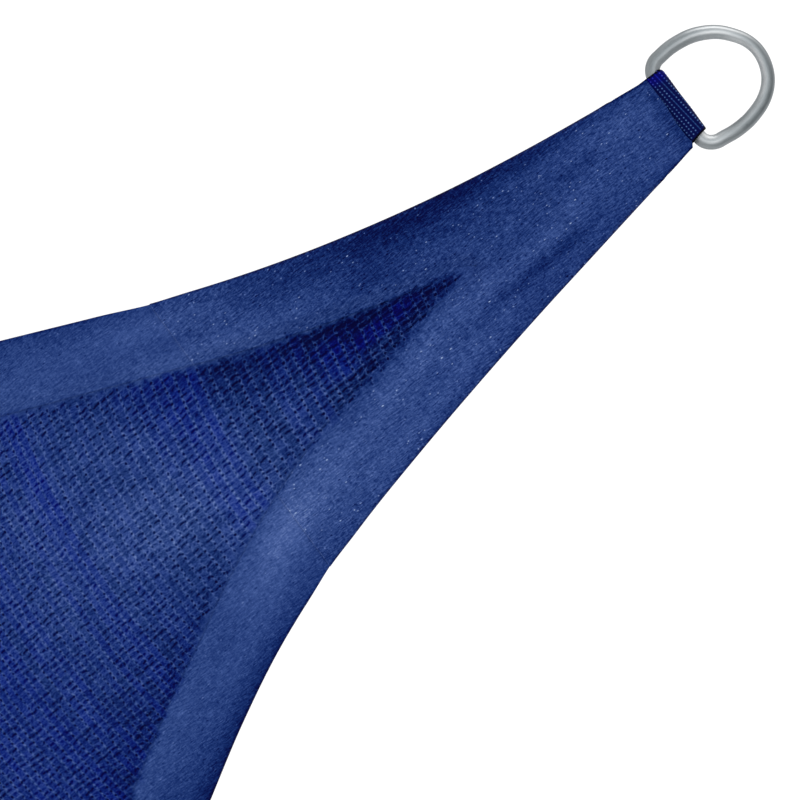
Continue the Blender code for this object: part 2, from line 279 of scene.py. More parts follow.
def hem_reach(side, distance):
    """Give the share of the way to the middle that a hem takes."""
    row = row_middle(distance) - side.place(distance)
    square = np.sqrt(np.maximum(1 - dot(row / abs(row), side.heading(distance)) ** 2, 0.0))
    return np.minimum(side.hem(distance) / square / abs(row), 1 - TIP_BLUNT)


def stations(start, fine, coarse):
    """Give distances along an edge, close together and then wider."""
    places = [start]
    while places[-1] < LEFT.half:
        share = smooth((places[-1] - EVEN_UNTIL) / (LEFT.half - EVEN_UNTIL) * 2)
        places.append(places[-1] + fine + (coarse - fine) * float(share))
    places[-1] = LEFT.half
    return np.array(places)


# ---- meshes

def sail_matrix(bearing):
    """Give where the sail's plane lies, with a corner at a bearing."""
    pitch = Matrix.Rotation(PITCH, 4, "X")
    hang = Matrix.Rotation(CORNER_BEARING, 4, "Z") @ Vector((HOLD_RADIUS, 0, 0))
    return Matrix.Translation(-(pitch @ hang)) @ pitch @ Matrix.Rotation(bearing, 4, "Z")


def quads(index):
    """Give the faces of a grid of numbered points."""
    corners = (index[:-1, :-1], index[:-1, 1:], index[1:, 1:], index[1:, :-1])
    return np.stack(corners, axis=-1).reshape(-1, 4).tolist()


def make_mesh(place, height, faces):
    """Make a mesh of plane places, heights and faces."""
    mesh = bpy.data.meshes.new("mesh")
    points = np.stack((place.real, place.imag, height), axis=-1)
    mesh.from_pydata(points.reshape(-1, 3).tolist(), [], faces)
    return mesh


def join_grids(grids):
    """Make a mesh of grids, each of places and heights."""
    faces = []
    first = 0
    for place, _ in grids:
        faces += quads(first + np.arange(place.size).reshape(place.shape))
        first += place.size
    places, heights = [np.concatenate([part.ravel() for part in parts]) for parts in zip(*grids)]
    return make_mesh(places, heights, faces)


def tube_mesh(place, height, closed):
    """Make a tube, closed on itself or with flat ends."""
    index = np.arange(place.size).reshape(place.shape)
    ends = [] if closed else [index[0, ::-1].tolist(), index[-1].tolist()]
    if closed:
        index = np.concatenate((index, index[:1]), axis=0)
    index = np.concatenate((index, index[:, :1]), axis=1)
    mesh = make_mesh(place, height, quads(index) + ends)
    weld(mesh, 0.0)
    return mesh


def weld(mesh, distance):
    """Join points that lie together, face outwards and shade smooth."""
    shape = bmesh.new()
    shape.from_mesh(mesh)
    bmesh.ops.remove_doubles(shape, verts=shape.verts, dist=distance)
    bmesh.ops.recalc_face_normals(shape, faces=shape.faces)
    shape.to_mesh(mesh)
    shape.free()
    mesh.shade_smooth()


def coordinates(mesh):
    """Give a mesh's points as an array."""
    values = np.empty(len(mesh.vertices) * 3)
    mesh.vertices.foreach_get("co", values)
    return values.reshape(-1, 3)


def store(mesh, name, values):
    """Keep a number or a vector for each point of a mesh."""
    kind, field = ("FLOAT", "value") if values.ndim == 1 else ("FLOAT_VECTOR", "vector")
    layer = mesh.attributes.new(name, kind, "POINT")
    layer.data.foreach_set(field, values.astype(np.float32).ravel())


def store_parts(mesh, name, first, second, third=0.0):
    """Keep a vector, given in parts, for each point of a mesh."""
    parts = np.broadcast_arrays(first, second, third)
    store(mesh, name, np.stack(parts, axis=-1).reshape(-1, 3))


def read(mesh, name):
    """Give the numbers that are kept for a mesh's points."""
    values = np.empty(len(mesh.vertices))
    mesh.attributes[name].data.foreach_get("value", values)
    return values


def add_object(name, data):
    """Put an object in the scene."""
    thing = bpy.data.objects.new(name, data)
    bpy.context.scene.collection.objects.link(thing)
    return thing


def add_piece(name, mesh, matrix, material):
    """Make a piece of the sail that rides on its body."""
    mesh.name = name
    piece = add_object(name, mesh)
    mesh.transform(matrix)
    mesh.materials.append(material)
    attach(piece, "root")
    return piece


def thicken(piece, thickness, full=None):
    """Give a sheet its thickness, less where it isn't full."""
    shell = piece.modifiers.new("thickness", "SOLIDIFY")
    shell.thickness = thickness
    shell.offset = 0
    shell.use_even_offset = True
    if full is not None:
        group = piece.vertex_groups.new(name="full")
        for index, weight in enumerate(full):
            group.add((index,), float(weight), "REPLACE")
        shell.vertex_group = group.name
        shell.thickness_vertex_group = LIP_SHARE


# ---- tone

# Painted light and shade of the patch and hem, lighter where its folds face the light and darker where they
# and its rolled edges turn away, in the corner's frame
# and in millimetres: start, end, half-width, and the change on a scale of 255.
PAINTED_LIGHT_AND_SHADE_ROWS = (
    (4, -16, 60, -19, 6, -14), (30, -15, 118, -30, 8, -24), (44, -8, 158, -36, 15, -15),
    (90, -27, 160, -50, 8, -10), (110, -15, 215, -42, 6, 9), (4, -7, 36, -2, 11, 11),
    (4, 8, 32, 8, 8, 7), (4.2, -15, 4.6, 15, 3.5, -16), (100, 30, 200, 60, 4.5, -12),
    (50, 2, 86, 8, 8, -6), (90, -20, 200, -52, 9, -6), (70, -12, 140, -36, 9, -8),
    (98, -10, 132, -21, 7, -13), (150, -34, 205, -56, 9, 9), (150, 15, 205, 33, 7, 10),
    (70, 14, 120, 28, 7, 8), (172, 36, 310, 92, 8, 10), (36, 12, 100, 17, 4.5, -22),
    (28, 4, 110, 12, 6, 12), (80, 5, 190, 34, 9, 18), (90, 22, 190, 44, 12, 14),
    (150, 24, 205, 40, 10, 14), (170, 27, 222, 48, 11, 20), (192, 54, 330, 125, 12, -29),
    (215, 52, 330, 106, 9, -12), (20, -4, 60, -6, 4, -8), (150, -40, 250, -66, 9, 8),
)

# The knit's tone, by the distance from the ring's bar in millimetres; the darkening near the corner is
# painted shade
KNIT_TONES = np.array((
    (80, -46), (118, -45), (138, -33), (150, -20), (160, -15), (182, -6), (212, 2), (236, 0),
    (262, -8), (300, -17), (420, -17), (700, -15),
))

# The knit's painted shade and the hem's painted light beside the hem's inner edge: the change on
# a scale of 255, and how far it reaches in millimetres
LEFT_SHADE = (18, 18)
RIGHT_SHADE = (29, 19)
RIM_SHADE = (3, 4)
RIM_PAINTED_LIGHT = (8, 6)
PAINTED_LIGHT_DEPTH = 3
ASIDE = (5, 20)  # across the line of pull, where a side's look begins

# How deep the knit's blue is, by the distance across its wales in millimetres:
# on the left of the first corner's line of pull, and on its right
DEEP_ROWS = np.array((
    (111, 0.0, 0.0), (117, 0.9, 0.7), (127, 1.0, 0.8), (129, 0.2, 0.1), (134, 0.4, 0.3),
    (141, 0.35, 0.25), (146, 0.1, 0.05), (160, 0.05, 0.05), (164, 0.4, 0.45), (170, 0.9, 0.8),
    (177, 0.75, 0.6), (181, 0.45, 0.15), (190, 0.4, 0.0), (196, 0.1, 0.0), (205, 0.25, 0.15),
    (213, 0.2, 0.35), (219, 0.1, 0.2), (226, 0.7, 0.35), (230, 0.6, 0.5), (236, 0.4, 0.4),
    (245, 0.4, 0.35), (262, 0.6, 0.55), (300, 0.6, 0.6), (400, 0.5, 0.5), (700, 0.45, 0.45),
))
SIDE_BLEND = (-25, 20)  # across the line of pull, from the one side's to the other's
TIP_END = 129  # up to where the first deep bands reach
TIP_BOUNDS = (-11, -7, 2, 7)  # across it, where those begin and end
TIP_STREAK = (104 - 3j, 142 - 1j, 4.5)  # a deep streak there: its ends and half-width


def nearest_corner(place):
    """Turn places into the nearest corner's frame, in millimetres."""
    frames = np.stack(corner_frames(place))
    nearest = abs(frames).argmin(axis=0)
    return np.take_along_axis(frames, nearest[None], axis=0)[0]


def fading(distance, strength, reach):
    """Give a strength that dies away with distance."""
    return strength * np.exp(-distance / reach)


def knit_tone(local, rim):
    """Give the knit's tone, with the painted shade beside the hem."""
    base = np.interp(local.real, *KNIT_TONES.T)
    inside = np.maximum(rim, 0)
    left = ease(-local.imag, -5, 12) * (ease(local.real, 238, 204) + 1) * fading(inside, *LEFT_SHADE)
    right = ease(local.imag, *ASIDE) * ease(local.real, 195, 224) * fading(inside, *RIGHT_SHADE)
    return base - left - right - fading(inside, *RIM_SHADE)


def rim_painted_light(local, rim):
    """Give the painted light that makes the hem lighter beside its inner edge."""
    glow = fading(abs(rim + PAINTED_LIGHT_DEPTH), *RIM_PAINTED_LIGHT)
    return glow * ease(abs(local.imag), *ASIDE) * ease(local.real, 138, 168)


def deepness(place):
    """Give how deep the knit's blue is, from 0 to 1."""
    distance = wale_distance(place)
    columns = DEEP_ROWS.T
    left, right = np.interp(distance, columns[0], columns[1]), np.interp(distance, columns[0], columns[2])
    deep = left + (right - left) * ease(place.imag, *SIDE_BLEND)
    within = ease(place.imag, *TIP_BOUNDS[:2]) * (1 - ease(place.imag, *TIP_BOUNDS[2:]))
    deep = deep * np.where(distance < TIP_END, within, 1.0)
    return np.maximum(deep, np.minimum(streak(place, *TIP_STREAK) * 1.5, 1))


EDGE_STEPS = np.arange(0, LEFT.lengths[-1], 2.5 * MM)
EACH_CORNER = np.arange(3)[:, None]
EDGE = turned(LEFT.place(EDGE_STEPS), EACH_CORNER).ravel()
EDGE_HEADING = turned(LEFT.heading(EDGE_STEPS), EACH_CORNER).ravel()
EDGE_HEM = np.tile(np.where(
    EDGE_STEPS < LEFT.half, LEFT.hem(EDGE_STEPS), RIGHT.hem(2 * LEFT.half - EDGE_STEPS)), 3)


def edge_distances(place):
    """Give the distances from the nearest edge and its hem's inner edge."""
    nearest = np.concatenate([
        abs(part[:, None] - EDGE[None, :]).argmin(axis=1)
        for part in np.array_split(place, len(place) // 1500 + 1)])
    inward = abs(((place - EDGE[nearest]) * np.conj(EDGE_HEADING[nearest])).imag)
    return inward, inward - EDGE_HEM[nearest]


# ---- knit

# The knit's rows fan out from a point beside the first ring.
FAN_CENTRE = complex(22.6, 23.1)
FAN_FADE = 420.0  # in millimetres, how soon the fan straightens
WALE_NEAR = 3.95  # in millimetres, between two wales near the corner
WALE_FAR = 2.9
WALE_CHANGE = (165.0, 240.0)  # where the one turns into the other
COURSE = 2.0


def wale_distance(local):
    """Give the distance across the wales, in millimetres."""
    offset = local - FAN_CENTRE
    along = np.maximum(offset.real, 20.0)
    bow = offset.imag ** 2 / (2 * along * (1 + (along / FAN_FADE) ** 2))
    limit = 0.35 * along
    return offset.real + limit * np.tanh(bow / limit)


def wale_count(distance):
    """Give the number of wales up to a distance."""
    start, end = WALE_CHANGE
    fine = np.linspace(-400.0, 2600.0, 6001)
    pitch = WALE_NEAR + (WALE_FAR - WALE_NEAR) * smooth((fine - start) / (end - start))
    count = np.concatenate(([0.0], np.cumsum(np.diff(fine) / (pitch[1:] + pitch[:-1]) * 2)))
    return np.interp(distance, fine, count)


def knit(place):
    """Give the wale and the course at places in the plane."""
    local = into_corner(place) / MM
    distance = wale_distance(local)
    shear = 0.10 * np.sin(distance / 60) + 0.06 * np.sin(local.imag / 45 + 1)
    course = local.imag / COURSE + shear * distance / COURSE * 0.12
    return wale_count(distance), course


# ---- cloth pieces

TIP_CLOSING = 4.0  # in millimetres, how far the hem's look runs on at the tip
TIP_CLOSING_OVER = (97, 82)
TIP_SHIFT = 2.7  # and the knit's look on the tip's right
TIP_SHIFT_STREAK = (92 + 8j, 172 + 22j, 14)
LEFT_SHIFT = 0.9  # and the hem's look on the left
KNIT_TUCK = 3.0 * MM  # how far the knit runs in under the hem
KNIT_TONGUE = 8.0 * MM  # how far it runs on under the patch's opening
HEM_LAYER = 1.0 * MM
HEM_DROP = (HEM_THICK - HEM_LAYER) / 2  # from the hem's middle to each layer's
HEM_COLUMNS = 15
HEM_CROWDING = 1.4  # how much closer its columns lie at the inner edge
FOLD_COLUMNS = 7
KNIT_COLUMNS = 34
KNIT_STEPS = (2.2 * MM, 12 * MM)  # between two rows, near and far
HEM_STEPS = (2.5 * MM, 9 * MM)
KNIT_OPENING = (MESH_TIP - 3 * MM, MESH_TIP + 1 * MM)  # where the hidden knit widens
KNIT_CLOSED = 0.97  # how near to the middle it stays before that
KNIT_SINK = (92, 124)  # in millimetres, where it sinks to the hem's lower side
WELD = 0.05 * MM
LIP = 6.0 * MM  # over which a layer's inner edge thins out
LIP_SHARE = 0.3  # of the layer's thickness that is left there
PATCH_END_ROOM = 0.6 * MM  # the hem's inset where the patch ends
PATCH_FADE = 30 * MM  # over which the patch's end draws in
HEM_RETURN = 18 * MM  # over which the hem comes out again past it


def build_knit(material):
    """Make the knitted cloth: three kites that meet at the centre."""
    distance = stations(MESH_TIP - KNIT_TONGUE, *KNIT_STEPS)
    middle = row_middle(distance)
    halves = []
    for side in SIDES:
        edge = side.place(distance)
        length = abs(middle - edge)
        reach = hem_reach(side, distance) - KNIT_TUCK / length
        reach = reach + (1 - reach) * (1 - ease(distance, *KNIT_OPENING)) * KNIT_CLOSED
        share = np.linspace(0, 1, KNIT_COLUMNS) ** 0.9
        share = reach[:, None] + (1 - reach[:, None]) * share[None, :]
        halves.append(edge[:, None] + (middle - edge)[:, None] * share)
    kite = np.concatenate((halves[0], halves[1][:, -2::-1]), axis=1)
    grids = []
    for corner in range(3):
        place = turned(kite, corner)
        drop = (HEM_THICK - MESH_THICK) / 2 * ease(nearest_corner(place).real, *KNIT_SINK)
        grids.append((place, surface(place) - drop))
    mesh = join_grids(grids)
    weld(mesh, WELD)
    paint_cloth(mesh)
    piece = add_piece("knit_panel", mesh, sail_matrix(CORNER_BEARING), material)
    thicken(piece, MESH_THICK)
    return piece


def paint_cloth(mesh, layers=0.0):
    """Keep what the cloth's materials read."""
    points = coordinates(mesh)
    place = points[:, 0] + 1j * points[:, 1]
    local = nearest_corner(place)
    frame_place = into_corner(place) / MM
    wale, course = knit(place)
    inward, rim = edge_distances(place)
    layer = np.sign(points[:, 2] - surface(place)) * layers
    store_parts(mesh, "lay", frame_place.real, frame_place.imag, layer)
    store_parts(mesh, "knit", wale, course)
    # Painted light and shade of the patch and hem, with the painted light beside the hem's inner edge
    store(mesh, "tone", all_streaks(local, PAINTED_LIGHT_AND_SHADE_ROWS) + rim_painted_light(local, rim / MM))
    # The knit's tone, with its painted shade beside the hem
    store(mesh, "dim", knit_tone(local, rim / MM))
    store(mesh, "deep", deepness(frame_place))
    store(mesh, "tight", ease(local.real, 215, 120))
    store(mesh, "inward", inward / MM)
    shift = TIP_SHIFT * streak(local, *TIP_SHIFT_STREAK) - TIP_CLOSING * ease(local.real, *TIP_CLOSING_OVER)
    shift = shift - LEFT_SHIFT * ease(-local.imag, *ASIDE)
    store(mesh, "rim", rim / MM + shift)


def hem_inset(distance):
    """Give how far the hem lies inside the outline, under the patch."""
    share = ease(distance, PATCH_LENGTH - PATCH_FADE, PATCH_LENGTH)
    room = FOLD_ROOM + (PATCH_END_ROOM - FOLD_ROOM) * share
    return room * ease(distance, PATCH_LENGTH + HEM_RETURN, PATCH_LENGTH)


def fold_over(top, fold, bottom, shares):
    """Join a folded sheet's columns: over, round the fold and back."""
    over = top[:, None] + (fold[:, :1] - top[:, None]) * shares
    back = bottom[:, None] + (fold[:, -1:] - bottom[:, None]) * shares
    return over, np.concatenate((over, fold, back[:, ::-1]), axis=1)


def rows_inward(side, distance):
    """Give the outline, and the way and direction to the rows' middles."""
    outline = side.place(distance)
    run = row_middle(distance) - outline
    return outline, run, run / abs(run)


def build_hem(material):
    """Make the hem: a strip folded over along each edge."""
    distance = stations(CLOTH_START, *HEM_STEPS)
    share = (np.linspace(0, 1, HEM_COLUMNS) ** HEM_CROWDING)[None, :-1]
    turn = np.linspace(math.pi / 2, -math.pi / 2, FOLD_COLUMNS)
    grids = []
    fullness = []
    for side in SIDES:
        outline, run, inward = rows_inward(side, distance)
        edge = outline + inward * hem_inset(distance)
        inner = outline + run * hem_reach(side, distance)
        under = inner - inward * (KNIT_TUCK + CLEARANCE)
        fold = edge[:, None] + inward[:, None] * (HEM_DROP * (1 - np.cos(turn)) + HEM_LAYER / 2)[None, :]
        over, place = fold_over(inner, fold, under, share)
        lip = 1 - ease(abs(over - inner[:, None]), 0, LIP)
        flat = np.ones(share.shape[1])
        rise = np.concatenate((flat, np.sin(turn), -flat)) * HEM_DROP
        rise = np.broadcast_to(rise[None, :], place.shape).copy()
        rise[:, :lip.shape[1]] *= 1 - lip
        full = np.ones(place.shape)
        full[:, :lip.shape[1]] = 1 - lip
        for corner in range(3):
            spun = turned(place, corner)
            grids.append((spun, surface(spun) + rise))
            fullness.append(full)
    mesh = join_grids(grids)
    store(mesh, "full", np.concatenate([full.ravel() for full in fullness]))
    weld(mesh, WELD)
    paint_cloth(mesh)
    piece = add_piece("hem", mesh, sail_matrix(CORNER_BEARING), material)
    thicken(piece, HEM_LAYER, read(mesh, "full"))
    return piece


PATCH_SHEET = 0.9 * MM
PATCH_FOLD = 1.5 * MM  # depth of the patch's rounded edge
PATCH_FOLD_IN = 0.4 * MM  # from the outline to the middle of the sheet
PATCH_COLUMNS = 32
PATCH_CROWDING = 1.3
PATCH_ROWS = 123
NOSE_LENGTH = 17 * MM
NOSE_FLARE = 0.95 * MM
NOSE_CLOSING = 4 * MM  # before and after its end, where its edges close
NOSE_SKEW = np.array((  # how far it starts back, by the way across
    (-14, -0.2), (-3, -0.2), (3, 0.4), (9, 0.5), (11.6, 0.0), (13.6, 1.3),
)) * MM
LEG_END = (47.5 * MM, 5.5 * MM)  # where the patch steps down, and over how far
PATCH_SEAT = 0.5 * MM  # from the clearance to the sheet's middle
OPENING_ROUND = 4 * MM  # over which the opening's tip rounds off
LIP_BEGINS = (MESH_TIP - 5 * MM, MESH_TIP + 0.5 * MM)  # where the opening's lip thins
END_ROW = 0.2 * MM  # between the patch's last two rows
END_TAPER = 14 * MM  # over which the patch's end thins out
END_DRAW = 3.6 * MM  # how much farther along it lies on the right side
END_DRAW_START = 120 * MM
# Painted light on the thin wall at the patch's end, against its shade, on a scale of 255
END_PAINTED_LIGHT = 40  # of the end's thin wall
END_LIFT = 1.44 * MM  # of the sheet's middle there, over the hem's middle
LIP_OVER = 0.40 * MM  # the same at the opening's lip, above
LIP_UNDER = 1.45 * MM  # and below


def patch_lift(distance):
    """Give the height of the patch's layers over the middle of the hem."""
    lift = HEM_THICK / 2 + CLEARANCE + PATCH_SEAT
    lift = lift + (END_LIFT - lift) * ease(distance, PATCH_LENGTH - END_TAPER, PATCH_LENGTH)
    past_leg = ease(distance, LEG_END[0], LEG_END[0] + LEG_END[1])
    flare = np.maximum(1 - distance / CLOTH_START, 0.0)
    return lift + (WEB_THICK + CLEARANCE) * (1 - past_leg) + NOSE_FLARE * flare


def skewed(place):
    """Draw back the right side of the patch's nose."""
    local = into_corner(place)
    back = np.interp(local.imag, *NOSE_SKEW.T) * ease(local.real, RING_START + 10 * MM, RING_START)
    return from_corner(local.real + back, local.imag)


def patch_grid(side):
    """Give half a patch's distances, places, heights and fullness."""
    distance = np.append(np.linspace(0, PATCH_LENGTH - END_ROW, PATCH_ROWS - 1), PATCH_LENGTH)
    drawn = distance + (END_DRAW * ease(distance, END_DRAW_START, PATCH_LENGTH) if side is RIGHT else 0.0)
    outline, run, inward = rows_inward(side, drawn)
    notch = np.sqrt(np.clip((distance - MESH_TIP) / OPENING_ROUND, 0, 1))
    reach = 1 + (hem_reach(side, drawn) - 1) * notch
    start = outline + run * reach
    closed = ease(distance, NOSE_LENGTH - NOSE_CLOSING, NOSE_LENGTH + NOSE_CLOSING)[:, None]
    wall_in = np.where(distance < NOSE_LENGTH - NOSE_CLOSING, 0.0, PATCH_FOLD_IN)[:, None]
    turn = np.linspace(math.pi / 2, -math.pi / 2, FOLD_COLUMNS + 1)
    round_in = PATCH_FOLD * (1 - np.cos(turn))[None, :]
    straight_in = PATCH_FOLD * np.maximum(abs(turn) - turn[FOLD_COLUMNS // 2], 0)[None, :]
    fold_in = straight_in + (round_in - straight_in) * closed + wall_in
    fold = outline[:, None] + inward[:, None] * fold_in
    share = (np.linspace(0, 1, PATCH_COLUMNS) ** PATCH_CROWDING)[None, :-1]
    over, place = fold_over(start, fold, start, share)
    place = skewed(place)

    lift = patch_lift(distance)[:, None]
    lip = ease(abs(over - start[:, None]), LIP, 0) * ease(distance, *LIP_BEGINS)[:, None]
    side_sign = np.sign(turn)[None, :]
    rounded = (side_sign + (np.sin(turn)[None, :] - side_sign) * closed) * lift
    height = np.concatenate((
        lift + (LIP_OVER - lift) * lip,
        rounded,
        (-lift + (lift - LIP_UNDER) * lip)[:, ::-1],
    ), axis=1)
    full = np.concatenate((1 - lip, rounded * 0 + 1, (1 - lip)[:, ::-1]), axis=1)
    full = full * ease(distance, PATCH_LENGTH, PATCH_LENGTH - END_TAPER)[:, None]
    return distance, place, surface(place) + height, full


def patch_mesh():
    """Make a patch: a V that is folded over both edges of the corner."""
    grids = []
    fullness = []
    for side in SIDES:
        distance, place, height, full = patch_grid(side)
        grids.append((place, height))
        fullness.append(full.ravel())
    mesh = join_grids(grids)
    store(mesh, "full", np.concatenate(fullness))
    is_end = np.broadcast_to((distance > PATCH_LENGTH - END_ROW / 2)[:, None], place.shape).ravel()
    store(mesh, "end", np.concatenate((is_end, is_end)).astype(float))
    shape = bmesh.new()
    shape.from_mesh(mesh)
    shape.verts.ensure_lookup_table()
    columns = grids[0][0].shape[1]
    middle = PATCH_COLUMNS - 1 + (FOLD_COLUMNS + 1) // 2 - 1
    open_sides = []
    for half in range(2):
        for row in range(int(np.searchsorted(distance, NOSE_LENGTH - NOSE_CLOSING))):
            first = shape.verts[half * place.size + row * columns + middle]
            last = shape.verts[half * place.size + (row + 1) * columns + middle + 1]
            open_sides.extend(set(first.link_faces) & set(last.link_faces))
    bmesh.ops.delete(shape, geom=open_sides, context="FACES_ONLY")
    shape.to_mesh(mesh)
    shape.free()
    weld(mesh, 0.02 * MM)
    paint_cloth(mesh, layers=40.0)
    # Paint light on the thin wall at the patch's end, against its shade
    tone = mesh.attributes["tone"].data
    for point, share in enumerate(read(mesh, "end")):
        tone[point].value += END_PAINTED_LIGHT * share
    return mesh


# ---- webbing and rings

RIB_PITCH = 1.3 * MM  # between two ribs, along the strap
RIB_START = -0.55 * MM  # from the bar to the unbroken rib
RIB_SLANT = 0.10  # of the ribs, across the strap
DOT_PITCH = 1.15 * MM  # between two ends, across it
RIB_HEIGHT = 0.16 * MM
WEB_COLUMNS = 111
LEG_ROWS = 24
RIBS_END = (14 * MM, 10 * MM)  # along the way, where the hidden legs turn plain
WEB_ARC_START = math.radians(81)
WEB_DRAWN_IN = 2.2 * MM  # how far its right edge is drawn in
WEB_DRAWN_OVER = (9 * MM, -4.5 * MM)  # along the way where that happens
WEB_SPREAD = 1.4 * MM  # how far its left edge spreads
SPREAD_OVER = (14 * MM, 5 * MM)
SPREAD_BACK = 0.7  # the share of it that is gone behind the bar
SPREAD_BACK_OVER = (-2.6 * MM, -4.0 * MM)
RIBS_INSET = (0.7 * MM, 1.3 * MM)  # from the right edge to where they rise
PLAIN_TURN = (-3 * MM, -5 * MM)  # across, where the unbroken rib moves to the next
EDGE_ROUND = 0.8 * MM
BEND_ROWS = 130
JOIN_ROWS = 42


def web_course():
    """Give the strap's middle line: the way along and the height."""
    flat = HEM_THICK / 2 + CLEARANCE + WEB_THICK / 2
    radius = WIRE / 2 + CLEARANCE + WEB_THICK / 2
    legs = np.linspace(WEB_LEG, WEB_PINCH, LEG_ROWS)
    angles = np.linspace(WEB_ARC_START, math.tau - WEB_ARC_START, BEND_ROWS)
    bend = radius * np.exp(1j * angles)
    join = np.linspace(0, 1, JOIN_ROWS + 2)[1:-1]
    run_in = WEB_PINCH + (bend[0].real - WEB_PINCH) * join
    rise = flat + (bend[0].imag - flat) * smooth(join)
    leg = np.concatenate((legs + 1j * flat, run_in + 1j * rise))
    return np.concatenate((leg, bend, np.conj(leg)[::-1]))


def round_strap(outer, inner):
    """Join what the strap's two sides have, row by row."""
    return np.concatenate((outer, inner[:, ::-1]), axis=1)


def web_mesh():
    """Make the woven strap: each rib is a row of raised ends."""
    course = web_course()
    lengths = run_lengths(course)
    tangent = np.gradient(course)
    outward = tangent / abs(tangent) * 1j
    if outward[len(outward) // 2].real > 0:
        outward = -outward
    across = np.linspace(-0.5, 0.5, WEB_COLUMNS) * WEB_WIDTH
    way = course.real[:, None]
    drawn = WEB_DRAWN_IN * ease(way, *WEB_DRAWN_OVER)
    spread = WEB_SPREAD * (ease(way, *SPREAD_OVER) - SPREAD_BACK * ease(way, *SPREAD_BACK_OVER))
    half_width = WEB_WIDTH / 2 + np.where(across > 0, -drawn, spread)
    wide = across / (WEB_WIDTH / 2) * half_width
    turn = (way - RIB_START + RIB_SLANT * wide) / RIB_PITCH
    rib = np.round(turn)
    swell = np.cos(math.pi * (turn - rib)) ** 2
    ends = np.sin(math.pi * (wide / DOT_PITCH + 0.5 * (rib % 2))) ** 2
    to_left = ease(wide, *PLAIN_TURN)
    plain = np.where(rib == 0, 1 - to_left, 0.0) + np.where(rib == -1, to_left, 0.0)
    swell = swell ** (1 + 0.8 * plain)
    raised = swell * (0.25 + 0.75 * ends + (0.42 - 0.6 * ends) * plain)
    raised = raised * ease(half_width - wide, *RIBS_INSET) * ease(way, *RIBS_END)
    rim = np.clip((WEB_WIDTH / 2 - abs(across)) / EDGE_ROUND, 0, 1)
    round_off = np.sqrt(np.clip(1 - (1 - rim) ** 2, 0, 1))
    half = (WEB_THICK / 2 - RIB_HEIGHT) * (0.25 + 0.75 * round_off) + RIB_HEIGHT * raised * rim
    outer = course[:, None] + outward[:, None] * half
    inner = course[:, None] - outward[:, None] * half
    ring = round_strap(outer, inner)
    wide = round_strap(wide, wide)
    place = from_corner(ring.real, wide)
    lift = np.where(course.real > WEB_PINCH / 2, surface(from_corner(course.real, 0)), 0.0)
    mesh = tube_mesh(place, ring.imag + lift[:, None], closed=False)
    edge = half_width - abs(across) / (WEB_WIDTH / 2) * half_width
    store(mesh, "raised", round_strap(raised, raised).ravel())
    store(mesh, "edge", round_strap(edge, edge).ravel() / MM)
    store_parts(mesh, "lay", (lengths - lengths[-1] / 2)[:, None] / MM, wide / MM)
    return mesh


def arc(centre, radius, start, sweep, steps):
    """Give points along an arc, without its last."""
    return centre + radius * np.exp(1j * (start + sweep * np.arange(steps) / steps))


# How the hand-bent wire strays from a true D: the bearing from the bow's
# middle in degrees, and how far out it lies there, in millimetres.
RING_BENDS = np.array((
    (-180, 0.55), (-160, -0.1), (-148, -0.75), (-115, -0.75), (-97, -0.1), (-80, 0.75), (-69, 0.95),
    (-57, 0.1), (-42, 0.0), (34, 0.0), (50, -1.1), (60, -0.9), (71, 0.1), (85, 0.1), (104, -0.4),
    (124, 0.1), (145, 0.6), (180, 0.55),
))
BEND_SOFTNESS = 9  # degrees
RING_STEPS = 24  # in each corner and straight stretch
BOW_STEPS = 90
WIRE_SIDES = 32
RING_SLIM = 0.12  # how much thinner the wire is at the bow's top


def ring_line():
    """Give the middle of the ring's wire, and its bearings."""
    half = RING_WIDTH / 2
    inset = half - RING_CORNER
    quarter = math.pi / 2
    line = np.concatenate((
        arc(-RING_CORNER + 1j * inset, RING_CORNER, 0.0, quarter, RING_STEPS),
        np.linspace(-RING_CORNER, half - RING_HEIGHT, RING_STEPS)[:-1] + 1j * half,
        arc(half - RING_HEIGHT, half, quarter, math.pi, BOW_STEPS),
        np.linspace(half - RING_HEIGHT, -RING_CORNER, RING_STEPS)[:-1] - 1j * half,
        arc(-RING_CORNER - 1j * inset, RING_CORNER, -quarter, quarter, RING_STEPS),
        1j * np.linspace(-inset, inset, RING_STEPS)[:-1],
    ))
    bow = complex(half - RING_HEIGHT, 0)
    bearings = np.degrees(np.angle(line - bow))
    spread = np.linspace(-2, 2, 9)
    weights = np.exp(-spread ** 2)
    offsets = sum(
        weight * np.interp((bearings + step * BEND_SOFTNESS + 180) % 360 - 180, *RING_BENDS.T)
        for step, weight in zip(spread, weights)) / weights.sum()
    return line + (line - bow) / abs(line - bow) * offsets * MM, np.radians(bearings)


def ring_mesh():
    """Make the D-ring: round wire swept along a bar, two corners and a bow."""
    line, bearings = ring_line()
    tangent = np.roll(line, -1) - np.roll(line, 1)
    outward = -1j * tangent / abs(tangent)
    turn = np.linspace(0, math.tau, WIRE_SIDES + 1)[:-1]
    radius = WIRE / 2 * (1 - RING_SLIM * np.clip(-np.cos(bearings), 0, 1) ** 2)[:, None]
    reach = line[:, None] + outward[:, None] * radius * np.cos(turn)[None, :]
    mesh = tube_mesh(BAR_CENTRE + PULL * reach, radius * np.sin(turn)[None, :], closed=True)
    store_parts(mesh, "lay", run_lengths(line)[:, None] / MM, turn[None, :] * WIRE / 2 / MM)
    # Painted reflections: dark and bright bands round the wire
    store(mesh, "painted_reflection", ring_painted_reflection(np.cos(turn)[None, :], bearings[:, None]).ravel())
    return mesh


